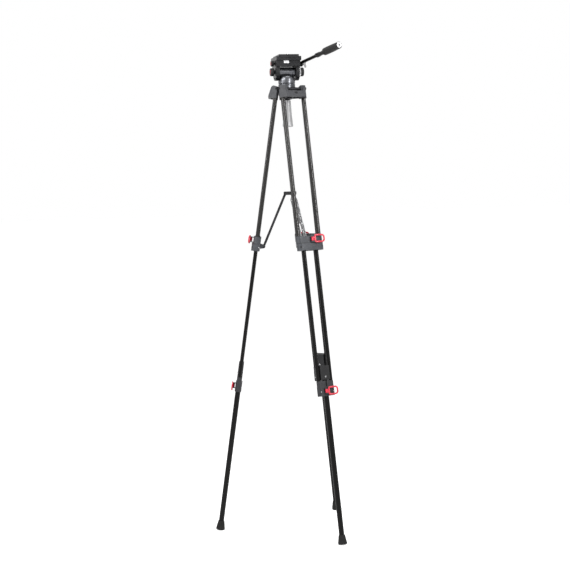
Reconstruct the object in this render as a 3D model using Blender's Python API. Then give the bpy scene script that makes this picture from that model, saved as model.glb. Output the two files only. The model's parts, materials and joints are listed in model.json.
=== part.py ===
"""Video tripod with a fluid head: three twin-tube legs, a 75 mm bowl, a mid-level spreader
and a head that pans, tilts and carries a sliding camera plate. Metres, +Z up."""
import bmesh
import bpy
from math import asin, atan2, cos, hypot, pi, radians, sin, sqrt, tan
from mathutils import Matrix, Vector

for item in list(bpy.data.objects):
    bpy.data.objects.remove(item, do_unlink=True)

gap = 0.0003                     # between faces that touch
legs = {"left": 180.0, "front": -60.0, "rear": 60.0}      # azimuths in degrees

# Leg line
hinge_height = 1.665
hinge_radius = 0.039             # leg hinge from the tripod's axis
foot_radius = 0.3045             # foot centre from the tripod's axis
splay = atan2(foot_radius - hinge_radius, hinge_height)
leg_length = hypot(hinge_height, foot_radius - hinge_radius)

# Tubes, radius and half spacing
upper_tube = {"radius": 0.008, "spacing": 0.04425, "wall": 0.0012, "top": 0.012}
middle_tube = {"radius": 0.007, "spacing": 0.0266, "wall": 0.0011}
lower_tube = {"radius": 0.010, "wall": 0.0012}

# Places along the leg, measured down from the hinge
mid_clamp_foot = 0.6077
lower_clamp_foot = 1.1455

# Saddle
saddle = {"half": 0.057, "nose_half": 0.041, "taper": 0.002, "rise": 0.010, "drop": 0.036,
          "front": 0.0265, "back": -0.0098,
          "strip": 0.0100, "window": 0.0135, "lean": 0.009, "pin": 0.004, "pin_reach": 0.0075}
wedge = {"clear": 0.0006, "swing": 0.0026}                # room beside the next leg's saddle

# Crown and bowl
bowl_height = 1.669
ball_radius = 0.0375
bowl_gap = 0.0007
bowl_wall = 0.0030
boss_half = 0.0307
boss_round = 0.0115
level_swing = radians(6)
stud_radius = 0.005
washer = {"thick": 0.0036, "radius": 0.022}
tie_handle = {"top": 0.0125, "foot": 0.0195, "length": 0.098, "flutes": 8}

# Mid clamp
mid_clamp = {"half": 0.054, "thick": 0.016, "shift": 0.002, "band": 0.0267, "collar": 0.0263,
             "collar_thick": 0.0140, "mouth": 0.0113}
bracket = {"place": 0.58908, "reach": 0.0271, "ear": 0.004, "radius": 0.0065, "pin": 0.0025}

# Lower clamp
lower_clamp = {"half": 0.035, "thick": 0.0125, "band": 0.0355, "neck": 0.020, "neck_half": 0.0345,
               "neck_thick": 0.0098}
bridge_height = 0.037
bridge_rim = 0.0002
guide = {"height": 0.052, "thick": 0.0095, "above": 0.0595, "plug": 0.020}

# Levers: rod loops on a barrel in front of a clamp
lever_rod = 0.0026
mid_lever = {"pivot": (0.0235, 0.002), "reach": 0.0525, "rise": 0.013, "curl": 0.009}
lower_lever = {"pivot": (0.0195, -0.008), "reach": 0.046, "rise": 0.0138, "curl": 0.006}

# Foot boot
boot = {"top": 0.012, "foot": 0.017, "height": 0.034, "floor": 0.006}

# Spreader
arm_length = 0.21668
arm = {"half": 0.012, "thick": 0.0045, "eye": 0.0048, "eye_half": 0.005, "slot_half": 0.004}
hub = {"radius": 0.0245, "height": 0.011, "pivot": 0.017, "slack": 0.0033}

# Head
pan_angle = radians(12)
tilt_height = 1.7285
neck = {"radius": 0.0315, "foot": 1.6693, "groove": 1.6833, "shoulder": 1.6960, "step": 0.002,
        "inset": 0.0025, "dome": 0.0220, "dome_top": 1.7150}
drum = {"radius": 0.0176, "half": 0.0310, "seam": 0.018, "bore": 0.006}
cheek = {"radius": 0.032, "outer": 0.045}
platform = {"half": 0.045, "length": 0.042, "low": 0.0186, "high": 0.041}
tray = {"half": 0.047, "length": 0.050, "floor": 0.049, "top": 0.0545, "inner": 0.0345}
plate = {"length": 0.051, "top": 0.0612, "lip": 0.0380}
button = {"radius": 0.0035, "inset": 0.0045, "y": -0.034, "travel": 0.0012}
screw = {"y": -0.030, "radius": 0.0047, "head": 0.0085, "head_high": 0.003, "tip": 0.0050}
tilt_knob = {"radius": 0.0150, "length": 0.0165}
plate_knob = {"radius": 0.0112, "length": 0.0135, "z": 0.0315}
drag = {"ring": 0.0180, "ring_wide": 0.0080, "dial": 0.0165, "dial_wide": 0.0115}
rosette = {"radius": 0.0098, "wide": 0.004, "z": 0.0295}
clamp_head = {"radius": 0.0098, "wide": 0.0126, "bolt": 0.0030}
bar = {"radius": 0.0060, "bore": 0.0048}
bar_swing = radians(-62.5)       # azimuth of the bar seen from above
bar_rise = radians(7.0)
bar_straight = 0.135             # from the bend to the collar's far end
collar = {"radius": 0.0088, "length": 0.026}
grip = {"neck": 0.0078, "belly": 0.0138, "end": 0.0125, "length": 0.138, "tube": 0.0044,
        "reach": 0.080}
end_cap = {"radius": 0.0100, "length": 0.005}
pan_knob = {"radius": 0.0065, "length": 0.012, "z": 1.6915}


def material(name, color, roughness, metallic=0.0):
    made = bpy.data.materials.new(name)
    made.use_nodes = True
    shader = made.node_tree.nodes["Principled BSDF"]
    shader.inputs["Base Color"].default_value = (*color, 1)
    shader.inputs["Roughness"].default_value = roughness
    shader.inputs["Metallic"].default_value = metallic
    made.diffuse_color = (*color, 1)
    return made


black_tube = material("black_tube", (0.018, 0.017, 0.017), 0.32, 0.6)
dark_metal = material("dark_metal", (0.055, 0.055, 0.058), 0.38, 0.7)
gun_metal = material("gun_metal", (0.13, 0.13, 0.14), 0.30, 0.9)
grey_plastic = material("grey_plastic", (0.115, 0.115, 0.125), 0.55)
black_plastic = material("black_plastic", (0.020, 0.020, 0.021), 0.50)
black_rubber = material("black_rubber", (0.014, 0.014, 0.014), 0.80)
red_metal = material("red_metal", (0.62, 0.025, 0.035), 0.35, 0.2)
silver = material("silver", (0.68, 0.68, 0.70), 0.28, 1.0)
pale_metal = material("pale_metal", (0.42, 0.41, 0.42), 0.42, 0.6)


def empty(name, parent=None, at=(0, 0, 0), turn=(0, 0, 0)):
    made = bpy.data.objects.new(name, None)
    made.location = at
    made.rotation_euler = turn
    made.parent = parent
    bpy.context.collection.objects.link(made)
    return made


def solid(name, shape, parent, coat=None, at=(0, 0, 0), turn=(0, 0, 0)):
    mesh = bpy.data.meshes.new(name)
    shape.to_mesh(mesh)
    shape.free()
    mesh.shade_smooth()
    mesh.set_sharp_from_angle(angle=radians(35))
    made = bpy.data.objects.new(name, mesh)
    made.location = at
    made.rotation_euler = turn
    made.parent = parent
    if coat:
        mesh.materials.append(coat)
    bpy.context.collection.objects.link(made)
    return made


def combine(target, shape, operation):
    tool = solid(target.name + "_tool", shape, target)
    tool.hide_render = True
    tool.display_type = "WIRE"
    change = target.modifiers.new(operation.lower(), "BOOLEAN")
    change.operation = operation
    change.solver = "EXACT"
    change.object = tool


def cut(target, *shapes):
    for shape in shapes:
        combine(target, shape, "DIFFERENCE")


def fuse(target, *shapes):
    for shape in shapes:
        combine(target, shape, "UNION")


def keep(target, shape):
    combine(target, shape, "INTERSECT")


axis_turns = {"Z": Matrix.Identity(3),
              "X": Matrix(((0, 0, 1), (1, 0, 0), (0, 1, 0))),
              "Y": Matrix(((1, 0, 0), (0, 0, 1), (0, 1, 0)))}


def finish(shape):
    bmesh.ops.remove_doubles(shape, verts=shape.verts, dist=1e-7)
    bmesh.ops.dissolve_degenerate(shape, edges=shape.edges, dist=1e-7)
    bmesh.ops.recalc_face_normals(shape, faces=shape.faces)
    return shape


def shifted(shape, x=0.0, y=0.0, z=0.0):
    bmesh.ops.translate(shape, verts=shape.verts, vec=(x, y, z))
    return shape


def prism(outline, low, high, axis="Z"):
    """Outline in the plane across the axis: XY for Z, YZ for X, XZ for Y."""
    shape = bmesh.new()
    turn = axis_turns[axis]
    ends = [[shape.verts.new(turn @ Vector((u, v, level))) for u, v in outline]
            for level in (low, high)]
    shape.faces.new(ends[0])
    shape.faces.new(ends[1])
    for i in range(len(outline)):
        j = (i + 1) % len(outline)
        shape.faces.new((ends[0][i], ends[0][j], ends[1][j], ends[1][i]))
    return finish(shape)


def block(x, y, z):
    return prism([(x[0], y[0]), (x[1], y[0]), (x[1], y[1]), (x[0], y[1])], z[0], z[1])


def turned(profile, sides=24, axis="Z"):
    """Solid of revolution; the profile's points are (radius, place on the axis)."""
    shape = bmesh.new()
    turn = axis_turns[axis]
    hollow = profile[0][0] > 1e-6
    rings = [[shape.verts.new(turn @ Vector((r * cos(2 * pi * k / sides),
                                             r * sin(2 * pi * k / sides), z)))
              for k in range(sides)] for r, z in profile]
    last = len(rings) if hollow else len(rings) - 1
    for i in range(last):
        low, high = rings[i], rings[(i + 1) % len(rings)]
        for k in range(sides):
            n = (k + 1) % sides
            shape.faces.new((low[k], low[n], high[n], high[k]))
    return finish(shape)


def cylinder(radius, low, high, sides=24, axis="Z"):
    return turned([(0, low), (radius, low), (radius, high), (0, high)], sides, axis)


def pipe(radius, wall, low, high, sides=16):
    inner = radius - wall
    return turned([(inner, low), (radius, low), (radius, high), (inner, high)], sides)


def arc(center, radius, start, end, steps):
    """Points of a round stretch, angles in degrees."""
    points = []
    for i in range(steps + 1):
        angle = radians(start + (end - start) * i / steps)
        points.append((center[0] + radius * cos(angle), center[1] + radius * sin(angle)))
    return points


def stadium(half, thick, shift=0.0, steps=6):
    """Flat-sided oval: half width along Y, half thickness along X."""
    straight = half - thick
    return (arc((shift, straight), thick, 0, 180, steps)
            + arc((shift, -straight), thick, 180, 360, steps))


def smooth_path(points, steps):
    """Catmull-Rom curve through the points."""
    points = [Vector(p) for p in points]
    padded = [2 * points[0] - points[1], *points, 2 * points[-1] - points[-2]]
    path = []
    for i in range(1, len(padded) - 2):
        a, b, c, d = padded[i - 1:i + 3]
        for k in range(steps):
            t = k / steps
            path.append(0.5 * (2 * b + (c - a) * t + (2 * a - 5 * b + 4 * c - d) * t ** 2
                               + (3 * b - a - 3 * c + d) * t ** 3))
    return path + [points[-1]]


def swept(path, radius, sides=8):
    """Round bar along a path."""
    shape = bmesh.new()
    rings = []
    side = None
    for i, point in enumerate(path):
        along = (path[min(i + 1, len(path) - 1)] - path[max(i - 1, 0)]).normalized()
        if side is None:
            side = along.orthogonal().normalized()
        side = (side - along * side.dot(along)).normalized()
        up = along.cross(side)
        rings.append([shape.verts.new(point + radius * (side * cos(2 * pi * k / sides)
                                                        + up * sin(2 * pi * k / sides)))
                      for k in range(sides)])
    for low, high in zip(rings, rings[1:]):
        for k in range(sides):
            n = (k + 1) % sides
            shape.faces.new((low[k], low[n], high[n], high[k]))
    shape.faces.new(rings[0])
    shape.faces.new(rings[-1])
    return finish(shape)


# Leg pieces, in the leg's own frame: hinge at the origin, X outward, Z up the leg

def wedge_width(x):
    """Half width that stays clear of the next leg at x."""
    return tan(radians(60)) * (hinge_radius + x - wedge["swing"]) - 2 * wedge["clear"]


def wedge_place(half):
    return (half + 2 * wedge["clear"]) / tan(radians(60)) - hinge_radius + wedge["swing"]


def add_saddle(side, frame):
    half, back, front = saddle["half"], saddle["back"], saddle["front"]
    nose_half, taper = saddle["nose_half"], saddle["taper"]
    plan = [(back, -wedge_width(back)), (wedge_place(half), -half), (taper, -half),
            (front, -nose_half), (front, nose_half), (taper, half), (wedge_place(half), half),
            (back, wedge_width(back))]
    shape = solid(side + "_saddle", prism(plan, -saddle["drop"], saddle["rise"]), frame, grey_plastic)
    nose = front - saddle["lean"]
    profile = ([(back - 0.001, -saddle["drop"] - 0.001), (front - 0.0015, -saddle["drop"] - 0.001),
                (front + 0.001, -saddle["drop"] + 0.004)]
               + arc((nose - 0.007, -0.0005), 0.0105, 8, 90, 5)
               + [(back - 0.001, saddle["rise"] - 0.004)])
    keep(shape, prism(profile, -half - 0.001, half + 0.001, "Y"))
    inside = front - saddle["strip"]
    boss_room = boss_half + gap
    top = saddle["rise"] + 0.001
    window = [(-boss_room, -saddle["window"]), (boss_room, -saddle["window"]),
              (boss_room + saddle["lean"], top), (-boss_room - saddle["lean"], top)]
    pin_end = boss_room + saddle["pin_reach"] + gap
    cut(shape, block((back - 0.01, inside), (-boss_room, boss_room), (-saddle["drop"] - 0.01, top)),
        prism(window, inside - 0.004, front + 0.01, "X"),
        cylinder(saddle["pin"] + gap, -pin_end, pin_end, 14, "Y"))
    for hand in (-1, 1):
        socket = cylinder(upper_tube["radius"] + gap, -saddle["drop"] - 0.01,
                          -upper_tube["top"] + gap, 16)
        cut(shape, shifted(socket, y=hand * upper_tube["spacing"]))
    return shape


def add_upper_tubes(side, frame):
    low = -mid_clamp_foot + mid_clamp["band"] * 0.5
    for label, hand in (("a", -1), ("b", 1)):
        tube = pipe(upper_tube["radius"], upper_tube["wall"], low, -upper_tube["top"])
        solid(side + "_upper_tube_" + label, tube, frame, black_tube,
              at=(0, hand * upper_tube["spacing"], 0))


def add_mid_clamp(side, frame):
    foot = -mid_clamp_foot
    seam = foot + mid_clamp["band"]
    top = seam + mid_clamp["collar"]
    half = mid_clamp["half"]
    shape = solid(side + "_mid_clamp",
                  prism(stadium(half, mid_clamp["thick"], mid_clamp["shift"]), foot, seam),
                  frame, grey_plastic)
    fuse(shape, prism(stadium(half, mid_clamp["collar_thick"]), seam - 0.002, top))
    reach = bracket["reach"]
    ear_out = arm["eye_half"] + gap + bracket["ear"]
    ears = ([(-mid_clamp["thick"] + 0.006, -bracket["place"] + 0.011)]
            + arc((-reach, -bracket["place"]), bracket["radius"], 100, 260, 6)
            + [(-mid_clamp["thick"] + 0.006, -bracket["place"] - 0.011)])
    fuse(shape, prism(ears, -ear_out, ear_out, "Y"))
    mouth = mid_clamp["mouth"]
    mouth_half = bridge_half() + gap
    eye_room = arm["eye_half"] + gap
    cut(shape, prism(stadium(mouth_half, mouth, 0, 6), foot - 0.01, top + 0.01),
        block((-reach - 0.02, -mouth - 0.0025), (-eye_room, eye_room),
              (-bracket["place"] - 0.02, -bracket["place"] + 0.02)),
        cylinder_at(bracket["pin"] + gap, ear_out + 0.002, -reach, -bracket["place"]))
    for hand in (-1, 1):
        socket = cylinder(upper_tube["radius"] + gap, foot + mid_clamp["band"] * 0.5 - gap,
                          top + 0.01, 16)
        cut(shape, shifted(socket, y=hand * upper_tube["spacing"]))
    pivot_x, pivot_y = mid_lever["pivot"]
    low, high = foot + mid_clamp["band"] + 0.003, top - 0.003
    add_lever_ears(shape, pivot_x, pivot_y, (low + high) / 2, mid_clamp["collar_thick"])
    return (low + high) / 2


def bridge_half():
    return middle_tube["spacing"] + middle_tube["radius"] + bridge_rim


def cylinder_at(radius, half, x, z, sides=12):
    return shifted(cylinder(radius, -half, half, sides, "Y"), x=x, z=z)


def add_lever_ears(shape, x, y, z, face):
    """Two lugs on the clamp's face that hold the lever's barrel, one above and one below it."""
    for hand in (-1, 1):
        middle = z + hand * 0.0092
        root = face - 0.0015
        lug = [(root, y - 0.006)] + arc((x, y), 0.0048, -90, 90, 5) + [(root, y + 0.006)]
        fuse(shape, prism(lug, middle - 0.0015, middle + 0.0015))


def add_lever(side, name, frame, sizes, middle):
    """U-shaped rod whose two arms join a barrel between the clamp's lugs."""
    x, y = sizes["pivot"]
    rise, reach = sizes["rise"], sizes["reach"]
    barrel_half = 0.0092 - 0.0015 - gap
    shape = solid(side + "_" + name, cylinder(0.0046, -barrel_half, barrel_half, 12), frame,
                  red_metal, at=(x, y, middle))
    route = [(0.001, 0, 0.0046), (0.0066, 0.0050, 0.0046), (0.0058, 0.0175, rise),
             (0.0015, reach * 0.55, rise),
             (-sizes["curl"] * 0.55, reach * 0.88, rise * 0.86),
             (-sizes["curl"], reach, 0)]
    mirror = [(u, v, -w) for u, v, w in reversed(route[:-1])]
    fuse(shape, swept(smooth_path(route + mirror, 2), lever_rod, 7))
    return shape


def add_middle_frame(side, frame):
    """Two tubes joined at the top by a bridge that slides in the mid clamp's mouth."""
    top = -mid_clamp_foot + 0.045
    foot = -lower_clamp_foot + 0.008
    low = top - bridge_height
    shape = solid(side + "_middle_frame",
                  prism(stadium(bridge_half(), mid_clamp["mouth"] - gap, 0, 6), low, top), frame,
                  black_tube)
    radius, wall = middle_tube["radius"], middle_tube["wall"]
    for hand in (-1, 1):
        place = hand * middle_tube["spacing"]
        tube = turned([(0, low - 0.003), (radius - wall, low - 0.003), (radius - wall, foot),
                       (radius, foot), (radius, low + 0.004), (0, low + 0.004)], 16)
        fuse(shape, shifted(tube, y=place))
    return shape


def add_lower_clamp(side, frame):
    foot = -lower_clamp_foot
    seam = foot + lower_clamp["band"]
    top = seam + lower_clamp["neck"]
    shape = solid(side + "_lower_clamp", prism(stadium(lower_clamp["half"], lower_clamp["thick"]),
                                               foot, seam), frame, black_plastic)
    fuse(shape, prism(stadium(lower_clamp["neck_half"], lower_clamp["neck_thick"]),
                      seam - 0.002, top))
    pivot_x, pivot_y = lower_lever["pivot"]
    middle = foot + lower_clamp["band"] / 2
    add_lever_ears(shape, pivot_x, pivot_y, middle, lower_clamp["thick"])
    cut(shape, cylinder(lower_tube["radius"] + gap, foot - 0.01, top + 0.01, 16))
    for hand in (-1, 1):
        socket = cylinder(middle_tube["radius"] + gap, foot + 0.008 - gap, top + 0.01, 16)
        cut(shape, shifted(socket, y=hand * middle_tube["spacing"]))
    return middle


def add_lower_tube(side, frame):
    top = -lower_clamp_foot + guide["above"]
    low = -leg_length + boot["floor"]
    solid(side + "_lower_tube", pipe(lower_tube["radius"], lower_tube["wall"], low + gap, top),
          frame, black_tube)
    half = middle_tube["spacing"] - middle_tube["radius"] - gap
    thick = guide["thick"]
    outline = [(-thick, -half), (thick, -half), (thick, half), (-thick, half)]
    shape = solid(side + "_guide_block", prism(outline, top + gap, top + guide["height"]), frame,
                  black_plastic)
    plug = lower_tube["radius"] - lower_tube["wall"] - gap
    fuse(shape, cylinder(plug, top - guide["plug"], top + 0.002, 16))


def add_foot(side, frame):
    floor = -leg_length
    neck = lower_tube["radius"] + gap
    profile = [(0, floor), (boot["foot"] - 0.003, floor), (boot["foot"] - 0.0008, floor + 0.001),
               (boot["foot"], floor + 0.004), (boot["top"], floor + boot["height"]),
               (neck, floor + boot["height"]), (neck, floor + boot["floor"]),
               (0, floor + boot["floor"])]
    solid(side + "_foot", turned(profile, 24), frame, black_rubber)


# Spreader: the arm's own frame has the bracket pivot at the origin and Z along the arm

def bracket_point():
    """Radius and height of the arm's lower pivot."""
    place, reach = bracket["place"], bracket["reach"]
    return (hinge_radius + place * sin(splay) - reach * cos(splay),
            hinge_height - place * cos(splay) - reach * sin(splay))


def arm_angle():
    return asin((bracket_point()[0] - hub["pivot"]) / arm_length)


def add_arm(side, root, azimuth):
    radius, height = bracket_point()
    frame = empty(side + "_arm_pivot", root, (radius * cos(azimuth), radius * sin(azimuth), height),
                  (0, -arm_angle(), azimuth))
    half, thick, eye = arm["half"], arm["thick"], arm["eye"]
    taper = 0.026
    face = [(-arm["eye_half"], 0), (arm["eye_half"], 0), (arm["eye_half"], 0.010), (half, taper),
            (half, arm_length - taper), (arm["eye_half"], arm_length - 0.012),
            (arm["eye_half"], arm_length), (-arm["eye_half"], arm_length),
            (-arm["eye_half"], arm_length - 0.012), (-half, arm_length - taper),
            (-half, taper), (-arm["eye_half"], 0.010)]
    shape = solid(side + "_spreader_arm", prism(face, -thick, thick, "X"), frame, dark_metal)
    for place in (0, arm_length):
        fuse(shape, cylinder_at(eye, arm["eye_half"] - 0.0001, 0, place, 14))
    reach = arm["eye_half"] + gap + bracket["ear"] * 0.8
    fuse(shape, cylinder_at(bracket["pin"], reach, 0, 0))
    groove = arm["half"] - 0.003
    cut(shape, block((-0.0015, thick + 0.01), (-groove, groove), (taper + 0.006, arm_length - taper - 0.006)))
    for low, high in ((0.032, 0.090), (0.118, 0.186)):
        slot = ([(u, v) for u, v in arc((0, high), arm["slot_half"], 0, 180, 6)]
                + arc((0, low), arm["slot_half"], 180, 360, 6))
        cut(shape, prism(slot, -0.02, 0.02, "X"))
    return shape


def add_hub(root):
    radius, height = bracket_point()
    middle = height + arm_length * cos(arm_angle())
    frame = empty("hub_frame", root, (0, 0, middle))
    top = hub["height"] / 2 + 0.001
    shape = solid("spreader_hub", turned([(0, -top), (hub["radius"] - 0.002, -top),
                                          (hub["radius"], -top + 0.002), (hub["radius"], top - 0.002),
                                          (hub["radius"] - 0.002, top), (0, top)], 24),
                  frame, black_plastic)
    for side, degrees in legs.items():
        loose = side != "left"
        room = arm["eye_half"] + (hub["slack"] if loose else gap)
        inner = hub["pivot"] - arm["eye"] - (2 * hub["slack"] if loose else 0.0012)
        slot = block((inner, 0.05), (-room, room), (-0.02, 0.02))
        bmesh.ops.rotate(slot, verts=slot.verts, cent=(0, 0, 0),
                         matrix=Matrix.Rotation(radians(degrees), 3, "Z"))
        cut(shape, slot)


# Bowl

def add_crown(root):
    frame = empty("bowl_center", root, (0, 0, bowl_height))
    inner = ball_radius + bowl_gap
    outer = inner + bowl_wall
    hole = stud_radius + outer * tan(level_swing) * 1.45 + 0.0015
    drop = sqrt(outer ** 2 - hole ** 2)
    steps = 7
    skin = [(outer * cos(t), -outer * sin(t)) for t in
            (asin(drop / outer) * i / steps for i in range(steps + 1))]
    profile = [(0, 0)] + skin + [(0, -drop)]
    shape = solid("crown", turned(profile, 24), frame, dark_metal)
    hinge = hinge_height - bowl_height
    side_view = ([(0.022, -0.0004), (hinge_radius + 0.008, -0.0004)]
                 + arc((hinge_radius, hinge), boss_round, 8, -90, 6) + [(0.022, -0.024)])
    pin_end = boss_half + saddle["pin_reach"]
    for degrees in legs.values():
        turn = Matrix.Rotation(radians(degrees), 3, "Z")
        boss = prism(side_view, -boss_half, boss_half, "Y")
        pin = cylinder_at(saddle["pin"], pin_end, hinge_radius, hinge, 14)
        for piece in (boss, pin):
            bmesh.ops.rotate(piece, verts=piece.verts, cent=(0, 0, 0), matrix=turn)
            fuse(shape, piece)
    ball = [(0, 0.01), (inner, 0.01)] + [(inner * cos(t), -inner * sin(t)) for t in
                                         (radians(70) * i / 6 for i in range(7))]
    ball += [(0, -inner * sin(radians(70)))]
    cut(shape, turned(ball, 24), cylinder(hole, -0.06, 0.001, 24))
    add_washer(frame, outer + bowl_gap)
    add_half_ball(frame)


def add_washer(frame, inner):
    outer = inner + washer["thick"]
    bore = stud_radius + gap
    wide = washer["radius"]
    steps = 4
    radii = [bore + (wide - bore) * i / steps for i in range(steps + 1)]
    profile = ([(r, -sqrt(outer ** 2 - r ** 2)) for r in radii]
               + [(r, -sqrt(inner ** 2 - r ** 2)) for r in reversed(radii)])
    shape = solid("clamp_washer", turned(profile, 20), frame, dark_metal)
    slot = stadium(bore + outer * tan(level_swing) + 0.0005, bore - 0.0001, 0, 6)
    cut(shape, prism([(y, x) for x, y in slot], -0.06, -0.03))


def add_half_ball(frame):
    bore = stud_radius + gap
    steps = 7
    low = sqrt(ball_radius ** 2 - 0.010 ** 2)
    angle = asin(low / ball_radius)
    skin = [(ball_radius * cos(angle * i / steps), -ball_radius * sin(angle * i / steps))
            for i in range(steps + 1)]
    solid("half_ball", turned([(bore, 0)] + skin + [(bore, -low)], 24), frame, dark_metal)
    top = neck["foot"] - bowl_height
    washer_low = ball_radius + 2 * bowl_gap + bowl_wall + washer["thick"]
    handle_top = washer_low + bowl_gap
    solid("pan_spindle", cylinder(stud_radius, -handle_top - 0.030, top + 0.0255, 20), frame, silver)
    add_tie_down(frame, handle_top)


def add_tie_down(frame, start):
    top, foot, length = tie_handle["top"], tie_handle["foot"], tie_handle["length"]
    bore = stud_radius + gap
    depth = 0.034
    profile = [(0, -depth), (bore, -depth), (bore, 0), (top, 0), (top + 0.0008, -0.004),
               (top + 0.0012, -0.016), (foot - 0.001, -length + 0.012), (foot, -length + 0.008),
               (foot, -length + 0.002), (foot - 0.002, -length), (0, -length)]
    shape = solid("tie_down_handle", turned(profile, 24), frame, pale_metal, at=(0, 0, -start))
    count = tie_handle["flutes"]
    for i in range(count):
        turn = 2 * pi * (i + 0.5) / count
        outer, lower = top + 0.0035, foot + 0.0030
        path = [Vector((outer * cos(turn), outer * sin(turn), -0.018)),
                Vector((lower * cos(turn), lower * sin(turn), -length + 0.013))]
        cut(shape, swept(path, 0.0045, 8))


# Head: pan frame stands on the pan axis, tilt frame on the tilt axis

def add_neck(pan):
    radius, groove = neck["radius"], neck["groove"]
    bore = stud_radius + gap
    foot = neck["foot"]
    base = [(bore, foot), (radius - 0.001, foot), (radius, foot + 0.001), (radius, groove - 0.001),
            (radius - 0.001, groove), (bore, groove)]
    solid("pan_base", turned(base, 28), pan, gun_metal)
    low = groove + neck["step"]
    inset = radius - neck["inset"]
    cap = neck["foot"] + 0.026
    body = [(0, cap), (bore, cap), (bore, groove + gap), (inset, groove + gap), (inset, low),
            (radius - 0.001, low), (radius, low + 0.001), (radius, neck["shoulder"])]
    rise = neck["dome_top"] - neck["shoulder"]
    steps = 5
    body += [(neck["dome"] + (radius - 0.0008 - neck["dome"]) * cos(radians(90) * i / steps),
              neck["shoulder"] + rise * sin(radians(90) * i / steps)) for i in range(steps + 1)]
    body += [(0, neck["dome_top"])]
    shape = solid("tilt_housing", turned(body, 28), pan, gun_metal)
    half = drum["half"] - gap
    for hand in (-1, 1):
        edges = sorted((hand * half, hand * 0.06))
        cut(shape, block(edges, (-0.06, 0.06), (neck["shoulder"] + 0.0002, 1.76)))
    r, seam = drum["radius"], drum["seam"]
    barrel = [(0, -half), (r - 0.0008, -half), (r, -half + 0.0008), (r, seam), (r - 0.001, seam + 0.0005),
              (r - 0.001, seam + 0.002), (r, seam + 0.0025), (r, half - 0.0008), (r - 0.0008, half),
              (0, half)]
    fuse(shape, shifted(turned(barrel, 24, "X"), z=tilt_height))
    cut(shape, shifted(cylinder(drum["bore"] + gap, -0.05, 0.05, 18, "X"), z=tilt_height))
    stem = [(0, 0), (0.0028, 0), (0.0028, 0.0035), (pan_knob["radius"], 0.0045),
            (pan_knob["radius"], pan_knob["length"] - 0.001),
            (pan_knob["radius"] - 0.001, pan_knob["length"]), (0, pan_knob["length"])]
    solid("pan_lock_knob", turned(stem, 14, "Y"), pan, black_plastic,
          at=(0, neck["radius"] + gap, pan_knob["z"]))


def add_platform(tilt):
    outer, inner = cheek["outer"], drum["half"] + gap
    low, high = platform["low"], platform["high"]
    body = block((-platform["half"], platform["half"]), (-platform["length"], platform["length"]),
                 (low, high))
    shape = solid("tilt_platform", body, tilt, black_plastic)
    outline = arc((0, 0), cheek["radius"], 180, 360, 14) + [(cheek["radius"] - 0.002, low + 0.004),
                                                            (-cheek["radius"] + 0.002, low + 0.004)]
    for hand in (-1, 1):
        edges = sorted((hand * inner, hand * (outer - 0.0002)))
        fuse(shape, prism(outline, edges[0], edges[1], "X"))
    fuse(shape, block((-tray["half"], tray["half"]), (-tray["length"], tray["length"]),
                      (high - 0.001, tray["top"])))
    slot = tray["inner"] + gap
    dovetail = [(-slot - 0.003, tray["floor"]), (slot + 0.003, tray["floor"]),
                (slot, tray["top"] + 0.0001), (slot, tray["top"] + 0.01),
                (-slot, tray["top"] + 0.01), (-slot, tray["top"] + 0.0001)]
    button_x = tray["half"] - button["inset"]
    cut(shape, prism(dovetail, -0.08, 0.08, "Y"),
        cylinder(drum["bore"] + gap, -outer + 0.004, outer - 0.004, 18, "X"),
        shifted(cylinder(button["radius"] + gap, tray["floor"] - 0.004, 0.08, 14), x=button_x,
                y=button["y"]))
    solid("tilt_axle", cylinder(drum["bore"], -outer + 0.004 + gap, outer - 0.004 - gap, 18, "X"),
          tilt, silver)
    return button_x


def add_plate(tilt, button_x):
    foot = tray["floor"] + gap
    inner = tray["inner"]
    profile = [(-inner - 0.003 + gap, foot), (inner + 0.003 - gap, foot), (inner, tray["top"] + gap),
               (inner, tray["top"] + 0.0006), (plate["lip"], tray["top"] + 0.0006),
               (plate["lip"], plate["top"] - 0.0008), (plate["lip"] - 0.0008, plate["top"]),
               (-plate["lip"] + 0.0008, plate["top"]), (-plate["lip"], plate["top"] - 0.0008),
               (-plate["lip"], tray["top"] + 0.0006), (-inner, tray["top"] + 0.0006),
               (-inner, tray["top"] + gap)]
    shape = solid("quick_release_plate", prism(profile, -plate["length"], plate["length"], "Y"),
                  tilt, black_plastic)
    head = screw["head"] + gap
    recess = foot + gap + screw["head_high"] + gap
    cut(shape, shifted(cylinder(screw["radius"] + gap, foot - 0.01, plate["top"] + 0.01, 16), y=screw["y"]),
        shifted(cylinder(head, foot - 0.01, recess, 18), y=screw["y"]))
    top = plate["top"] + screw["tip"]
    bolt = [(0, foot + gap), (screw["head"], foot + gap), (screw["head"], recess - gap),
            (screw["radius"], recess - gap), (screw["radius"], top - 0.001),
            (screw["radius"] - 0.001, top), (0, top)]
    solid("camera_screw", turned(bolt, 16), tilt, silver, at=(0, screw["y"], 0))
    edge = button["radius"]
    stud = [(0, 0), (edge, 0), (edge, 0.0090), (edge - 0.0008, 0.0098), (0, 0.0098)]
    solid("plate_release_button", turned(stud, 14), tilt, red_metal,
          at=(button_x, button["y"], tray["floor"] - 0.004 + button["travel"] + gap))


def knob_profile(radius, length, stem=0.45, lead=0.003):
    """Turned knob: stem, rounded rim and flat face."""
    return [(0, 0), (radius * stem, 0), (radius * stem, lead), (radius - 0.0015, lead),
            (radius, lead + 0.0015), (radius, length - 0.002), (radius - 0.002, length), (0, length)]


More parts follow.
